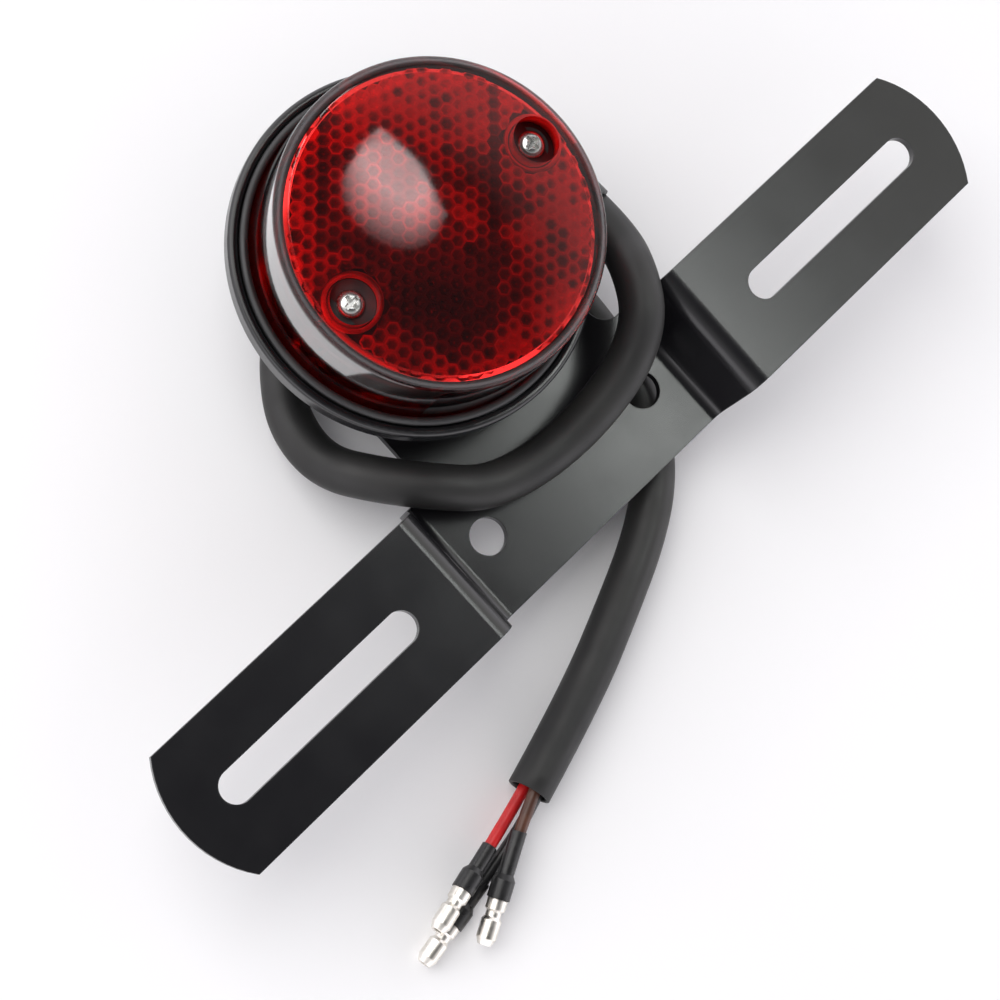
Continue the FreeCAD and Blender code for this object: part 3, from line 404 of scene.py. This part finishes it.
prisms = make_prisms()
# A bright red ring under the lens rim: a painted highlight where light comes in through the side window.
painted_rim_light = turned_band("lens_painted_rim_light", [
    (29.7, 36.6), (30.15, 36.65), (30.25, 36.0), (29.85, 35.4), (29.55, 36.0)])
# A dark red sheet behind the prisms: painted shade standing in for the dim inside of the lamp.
painted_shade_sheet = turned_band("lens_backing", [
    (0.3, 38.6), (12, 38.3), (22, 37.2), (30.4, 35.5), (30.4, 35.2), (22, 36.9), (12, 38.0), (0.3, 38.3)])
# Well liner profile: the red walls of the screw wells, with an outer lip out to 5.9 mm that is a painted
# highlight ring round each well.
LINER = [(3.1, 34.9), (3.1, 35.15), (4.95, 35.15), (4.95, 38.0),
         (5.9, 37.95), (5.9, 37.6), (5.3, 37.4), (5.3, 34.9)]
liners = [turned_band(f"well_liner_{name}", LINER, sides=64, centre=(side * 24.5, 0))
          for name, side in (("right", 1), ("left", -1))]


# ---- materials ----

def shader(name):
    """A node material, its node tree and its shader."""
    material = bpy.data.materials.new(name)
    material.use_nodes = True
    tree = material.node_tree
    principled = tree.nodes["Principled BSDF"]
    return material, tree, principled


def set_values(principled, **values):
    for key, value in values.items():
        principled.inputs[key.replace("_", " ")].default_value = value


def add(tree, kind, **inputs):
    node = tree.nodes.new(kind)
    for key, value in inputs.items():
        node.inputs[key.replace("_", " ")].default_value = value
    return node


def noise(tree, scale, detail=4.0, stretch=None):
    """Noise over the part's own coordinates."""
    spot = tree.nodes.new("ShaderNodeTexCoord")
    source = spot.outputs["Object"]
    if stretch:
        mapping = tree.nodes.new("ShaderNodeMapping")
        mapping.inputs["Scale"].default_value = stretch
        tree.links.new(source, mapping.inputs["Vector"])
        source = mapping.outputs["Vector"]
    texture = add(tree, "ShaderNodeTexNoise", Scale=scale, Detail=detail)
    tree.links.new(source, texture.inputs["Vector"])
    return texture.outputs["Fac"]


def ramp(tree, source, stops):
    """Colours along a value; each stop is a place and a colour."""
    node = tree.nodes.new("ShaderNodeValToRGB")
    elements = node.color_ramp.elements
    while len(elements) < len(stops):
        elements.new(0.5)
    for element, (place, colour) in zip(elements, stops):
        element.position = place
        element.color = (*colour, 1)
    tree.links.new(source, node.inputs["Fac"])
    return node.outputs["Color"]


def span(tree, source, low, high):
    """A value spread from 0.3..0.7 over a low and a high value."""
    node = add(tree, "ShaderNodeMapRange")
    for key, value in (("From Min", 0.3), ("From Max", 0.7), ("To Min", low), ("To Max", high)):
        node.inputs[key].default_value = value
    tree.links.new(source, node.inputs["Value"])
    return node.outputs["Result"]


def bump(tree, principled, source, strength, distance, under=None):
    node = add(tree, "ShaderNodeBump", Strength=strength, Distance=distance)
    tree.links.new(source, node.inputs["Height"])
    if under is not None:
        tree.links.new(under, node.inputs["Normal"])
    tree.links.new(node.outputs["Normal"], principled.inputs["Normal"])
    return node.outputs["Normal"]


def rounded(tree, radius):
    """A normal that softens the part's hard edges."""
    return add(tree, "ShaderNodeBevel", Radius=radius).outputs["Normal"]


def finish(name, low, high, rough, grain, relief, edge=None, patch=60, stretch=None, **values):
    """A surface with patches of tone, uneven gloss and a fine grain."""
    material, tree, principled = shader(name)
    set_values(principled, **values)
    tone = ramp(tree, noise(tree, patch, 5, stretch), [(0.35, low), (0.65, high)])
    tree.links.new(tone, principled.inputs["Base Color"])
    tree.links.new(span(tree, noise(tree, patch * 3, 3, stretch), *rough), principled.inputs["Roughness"])
    under = rounded(tree, edge) if edge else None
    bump(tree, principled, noise(tree, grain, 2), relief[0], relief[1], under)
    return material


def by_height(tree, source, stops):
    """A value scaled by the height above the floor; each stop is a height in millimetres and a factor."""
    spot = tree.nodes.new("ShaderNodeTexCoord")
    parts = tree.nodes.new("ShaderNodeSeparateXYZ")
    tree.links.new(spot.outputs["Object"], parts.inputs[0])
    curve = tree.nodes.new("ShaderNodeMapRange")
    for key, value in (("From Min", 0.02), ("From Max", 0.06)):
        curve.inputs[key].default_value = value
    tree.links.new(parts.outputs["Z"], curve.inputs["Value"])
    factor = ramp(tree, curve.outputs["Result"],
                  [((height - 20) / 40, (value / 4, value / 4, value / 4)) for height, value in stops])
    scaled = tree.nodes.new("ShaderNodeMath")
    scaled.operation = "MULTIPLY"
    tree.links.new(factor, scaled.inputs[0])
    scaled.inputs[1].default_value = 4
    product = tree.nodes.new("ShaderNodeMath")
    product.operation = "MULTIPLY"
    product.use_clamp = True
    tree.links.new(scaled.outputs[0], product.inputs[0])
    tree.links.new(source, product.inputs[1])
    return product.outputs[0]


def clear(name, tint, ior, rough, grain, mix_scale=40, deep=None, painted_reflection_by_height=None):
    """A clear moulding: tinted straight through, with a gloss that grows towards its edges; a height table
    can scale that gloss, a painted reflection band.
    """
    material, tree, principled = shader(name)
    tree.nodes.remove(principled)
    through = add(tree, "ShaderNodeBsdfTransparent")
    tree.links.new(ramp(tree, noise(tree, mix_scale, 2), [(0.4, tint), (0.6, deep or tint)]),
                   through.inputs["Color"])
    gloss = add(tree, "ShaderNodeBsdfGlossy", Color=(1, 1, 1, 1), Roughness=rough)
    relief = add(tree, "ShaderNodeBump", Strength=0.05, Distance=0.00002)
    tree.links.new(noise(tree, grain, 2), relief.inputs["Height"])
    tree.links.new(relief.outputs["Normal"], gloss.inputs["Normal"])
    fresnel = add(tree, "ShaderNodeFresnel", IOR=ior)
    joined = tree.nodes.new("ShaderNodeMixShader")
    share = fresnel.outputs["Fac"]
    # Gloss scaled by height: painted reflection on the lens's shoulder.
    if painted_reflection_by_height:
        share = by_height(tree, share, painted_reflection_by_height)
    tree.links.new(share, joined.inputs[0])
    tree.links.new(through.outputs[0], joined.inputs[1])
    tree.links.new(gloss.outputs[0], joined.inputs[2])
    tree.links.new(joined.outputs[0], tree.nodes["Material Output"].inputs["Surface"])
    return material


def prism_material():
    """Red cells with a painted highlight on their ridges and painted shade in their centres, read from the
    cells' painted light.
    """
    material, tree, principled = shader("lens_prism_red")
    set_values(principled, IOR=1.49, Coat_Weight=0.4, Coat_Roughness=0.08)
    # Reads the painted light stored on the prism cells.
    lit = tree.nodes.new("ShaderNodeAttribute")
    lit.attribute_name = "lit"
    mixed = add(tree, "ShaderNodeMath")
    mixed.operation = "MULTIPLY_ADD"
    tree.links.new(noise(tree, 260, 3), mixed.inputs[0])
    mixed.inputs[1].default_value = 0.22
    tree.links.new(lit.outputs["Fac"], mixed.inputs[2])
    # Colours from painted shade, a near-black red, up to a pinkish painted highlight.
    tone = ramp(tree, mixed.outputs[0], [(0.10, (0.030, 0.003, 0.004)), (0.34, (0.26, 0.012, 0.016)),
                                         (0.62, (0.90, 0.06, 0.065)), (0.96, (1.0, 0.42, 0.38))])
    tree.links.new(tone, principled.inputs["Base Color"])
    tree.links.new(span(tree, noise(tree, 700, 2), 0.25, 0.45), principled.inputs["Roughness"])
    return material


# Lens reflection strength by height (mm, factor): a painted reflection band, 2.2 times stronger on the
# shoulder from 40.8 to 49.6 mm, and weaker at 51 mm, a painted dark line.
LENS_PAINTED_REFLECTION = [(28, 0.2), (39.2, 0.25), (40.8, 2.2), (49.6, 2.2), (51.0, 0.6), (52.6, 1.0)]
paint = finish("black_paint_look", (0.0046, 0.0044, 0.0056), (0.0060, 0.0058, 0.0070), (0.22, 0.26), 5200,
               (0.16, 0.00002), edge=0.0003, patch=34, IOR=1.5)
looks = {
    "black_paint": paint,
    "housing_black": finish("housing_look", (0.006, 0.006, 0.007), (0.011, 0.011, 0.012), (0.14, 0.26), 4200,
                            (0.10, 0.00002), edge=0.00025, IOR=1.5),
    "black_rubber": finish("rubber_look", (0.016, 0.016, 0.017), (0.028, 0.028, 0.029), (0.42, 0.6), 6500,
                           (0.35, 0.00004), edge=0.0003),
    "zinc_steel": finish("zinc_look", (0.50, 0.51, 0.52), (0.66, 0.66, 0.64), (0.26, 0.42), 3800,
                         (0.20, 0.00002), edge=0.00015, Metallic=1.0),
    "bright_dish": finish("dish_look", (0.72, 0.73, 0.74), (0.86, 0.86, 0.85), (0.08, 0.2), 2600,
                          (0.10, 0.00002), Metallic=1.0),
    "screw_steel": finish("screw_look", (0.62, 0.62, 0.60), (0.84, 0.84, 0.82), (0.14, 0.28), 3600,
                          (0.25, 0.00002), edge=0.0002, Metallic=1.0),
    "brass": finish("brass_look", (0.62, 0.42, 0.16), (0.78, 0.56, 0.25), (0.22, 0.4), 4200,
                    (0.2, 0.00002), edge=0.0002, Metallic=1.0),
    "spring_steel": finish("spring_look", (0.42, 0.42, 0.43), (0.6, 0.6, 0.6), (0.2, 0.36), 6200,
                           (0.2, 0.00001), Metallic=1.0),
    "black_plastic": finish("plastic_look", (0.012, 0.012, 0.012), (0.022, 0.021, 0.020), (0.35, 0.5), 5200,
                            (0.3, 0.00003), edge=0.0002),
    "tungsten": finish("filament_look", (0.26, 0.26, 0.28), (0.4, 0.4, 0.41), (0.3, 0.45), 9000,
                       (0.2, 0.00001), Metallic=1.0),
    "cable_black": finish("cable_look", (0.010, 0.010, 0.0105), (0.018, 0.0175, 0.017), (0.42, 0.56), 5200,
                          (0.45, 0.00005), patch=45, IOR=1.40),
    "wire_red": finish("wire_red_look", (0.42, 0.006, 0.008), (0.62, 0.012, 0.014), (0.32, 0.46), 5200,
                       (0.2, 0.00002), patch=150),
    "wire_brown": finish("wire_brown_look", (0.062, 0.022, 0.012), (0.105, 0.040, 0.022), (0.34, 0.48), 5200,
                         (0.2, 0.00002), patch=150),
    "wire_black": finish("wire_black_look", (0.010, 0.010, 0.011), (0.018, 0.018, 0.019), (0.30, 0.44), 5200,
                         (0.2, 0.00002), patch=150),
    "shrink_black": finish("shrink_look", (0.009, 0.009, 0.010), (0.017, 0.017, 0.017), (0.26, 0.42), 2400,
                           (0.4, 0.00006), patch=220, edge=0.0002),
    "tinned_brass": finish("tin_look", (0.72, 0.69, 0.63), (0.92, 0.89, 0.84), (0.26, 0.42), 3600,
                           (0.10, 0.00001), patch=220, edge=0.0002, Metallic=1.0),
    "red_lens": clear("lens_look", (0.91, 0.18, 0.17), 1.62, 0.055, 900, deep=(0.85, 0.155, 0.15),
                      painted_reflection_by_height=LENS_PAINTED_REFLECTION),
    "clear_plastic": clear("window_look", (0.74, 0.70, 0.68), 1.49, 0.05, 900, deep=(0.66, 0.62, 0.60)),
    "bulb_glass": clear("bulb_look", (0.94, 0.95, 0.95), 1.5, 0.02, 700, deep=(0.90, 0.92, 0.92)),
}

slots = {}
for entry in frame["record"]["materials"]:
    for node in entry.get("nodes", []):
        slots[node] = entry["slot"]
for name, node in nodes.items():
    slot = slots.get(name) or (node.data.materials[0].name if node.data.materials else "black_plastic")
    if not node.data.materials:
        node.data.materials.append(None)
    node.material_slots[0].link = "OBJECT"
    node.material_slots[0].material = looks[slot.split(".")[0]]

sleeve.data.materials.append(looks["cable_black"])
spring.data.materials.append(looks["spring_steel"])
for colour, wire in wires.items():
    wire.data.materials.append(looks[f"wire_{colour}"])
prisms.data.materials.append(prism_material())
# The lens's own red on the well walls, lifted to a painted highlight on the liners' outer lips and the rim
# ring.
red_and_painted_highlight = finish("lens_red_and_painted_highlight_look", (0.50, 0.012, 0.012), (0.85, 0.03, 0.03), (0.18, 0.3), 2600,
                    (0.2, 0.00002), patch=140, Coat_Weight=0.5)
# Near-black red for the sheet behind the prisms: painted shade.
painted_shade_red = finish("lens_painted_shade_look", (0.02, 0.001, 0.002), (0.07, 0.003, 0.004), (0.4, 0.6), 2600,
                  (0.2, 0.00002), patch=180)
painted_shade_sheet.data.materials.append(painted_shade_red)
painted_rim_light.data.materials.append(red_and_painted_highlight)
for liner in liners:
    liner.data.materials.append(red_and_painted_highlight)


# ---- floor and light ----

def make_floor():
    """A plain pale table top."""
    half, steps = 3.0, 24
    data = bpy.data.meshes.new("floor")
    spots = [(half * (2 * i / steps - 1), half * (2 * j / steps - 1), 0.0)
             for i in range(steps + 1) for j in range(steps + 1)]
    row = steps + 1
    faces = [(i * row + j, (i + 1) * row + j, (i + 1) * row + j + 1, i * row + j + 1)
             for i in range(steps) for j in range(steps)]
    data.from_pydata(spots, [], faces)
    floor = bpy.data.objects.new("floor", data)
    scene.collection.objects.link(floor)
    data.materials.append(finish("floor_look", (0.86, 0.86, 0.875), (0.90, 0.90, 0.91), (0.55, 0.7), 900,
                                 (0.05, 0.0001), patch=3))


def soft_light(name, place, target, size, power, colour=(1, 1, 1)):
    data = bpy.data.lights.new(name, "AREA")
    data.shape = "RECTANGLE"
    data.size, data.size_y = size
    data.energy = power
    data.color = colour
    light = bpy.data.objects.new(name, data)
    light.location = place
    light.rotation_mode = "QUATERNION"
    light.rotation_quaternion = (Vector(target) - Vector(place)).to_track_quat("-Z", "Y")
    scene.collection.objects.link(light)
    return light


def shine_on(lights, names, pieces=()):
    """These lights fall only on these parts, as a flag or a snoot in a studio would have it."""
    chosen = bpy.data.collections.new(f"lit_by_{lights[0].name}")
    for item in [*(nodes[name] for name in names), *pieces]:
        chosen.objects.link(item)
    for light in lights:
        light.light_linking.receiver_collection = chosen


def make_world():
    """A pale room: bright low down, darker overhead."""
    world = bpy.data.worlds.new("room")
    scene.world = world
    world.use_nodes = True
    tree = world.node_tree
    spot = tree.nodes.new("ShaderNodeTexCoord")
    parts = tree.nodes.new("ShaderNodeSeparateXYZ")
    tree.links.new(spot.outputs["Generated"], parts.inputs[0])
    colour = ramp(tree, parts.outputs["Z"], [(0.0, (0.80, 0.78, 0.84)), (0.10, (0.99, 0.97, 1.0)),
                                             (0.34, (0.97, 0.95, 0.99)), (0.56, (0.36, 0.35, 0.36)),
                                             (0.78, (0.20, 0.20, 0.20)), (0.88, (0.035, 0.035, 0.037))])
    tree.links.new(colour, tree.nodes["Background"].inputs["Color"])
    tree.nodes["Background"].inputs["Strength"].default_value = 2.25


SOFTBOX_PANELS = 18
SOFTBOX_SQUARE = 8  # the panels after this one are round
SOFTBOX_BRIGHTNESS = 0.46


def make_softbox(names, pieces):
    """A softbox, as nested panels that add up towards one corner; it lights only these parts."""
    for step in range(1, SOFTBOX_PANELS + 1):
        share = step / SOFTBOX_PANELS
        wide, deep = 0.165 * share, 0.20 * (0.4 + 0.6 * share)
        place = Vector((0.255 - wide / 2, 0.235 - deep / 2, 0.60 + 0.001 * step))
        if step > SOFTBOX_SQUARE:
            place += Vector((-0.012, -0.026, 0)) * (share - 0.4)
        panel = soft_light(f"softbox_{step}", place, (place[0], place[1], 0.0), (wide, deep),
                           math.pi * wide * deep * SOFTBOX_BRIGHTNESS)
        panel.data.shape = "ELLIPSE" if step > SOFTBOX_SQUARE else "RECTANGLE"
        shine_on([panel], names, pieces)


def keep_off(light, node):
    """This light doesn't fall on this node."""
    left_out = bpy.data.collections.new(f"without_{light.name}")
    left_out.objects.link(node)
    left_out.collection_objects[0].light_linking.link_state = "EXCLUDE"
    light.light_linking.receiver_collection = left_out


make_floor()
make_world()
key = soft_light("key", (-0.25, 0.75, 1.05), (0, 0, 0), (1.3, 1.3), 13.0, (1.0, 0.99, 0.97))
make_softbox(["lens", "lens_screws", "plate_window", "bullet_red", "bullet_brown", "bullet_black"],
             [prisms, *liners])
near = soft_light("near_panel", (0.275, -0.10, 0.62), (0.275, -0.10, 0.0), (0.075, 0.5), 1.35,
                  (0.96, 1.0, 0.97))
far = soft_light("far_panel", (0.66, -0.12, 0.62), (0.30, -0.05, 0.0), (0.46, 0.5), 0.7, (1.0, 0.99, 0.90))
shine_on([near, far], ["mounting_bracket", "lamp_housing", "mount_pad", "cable_boot"], [sleeve])
keep_off(key, nodes["lens"])
scene.view_settings.view_transform = "Standard"
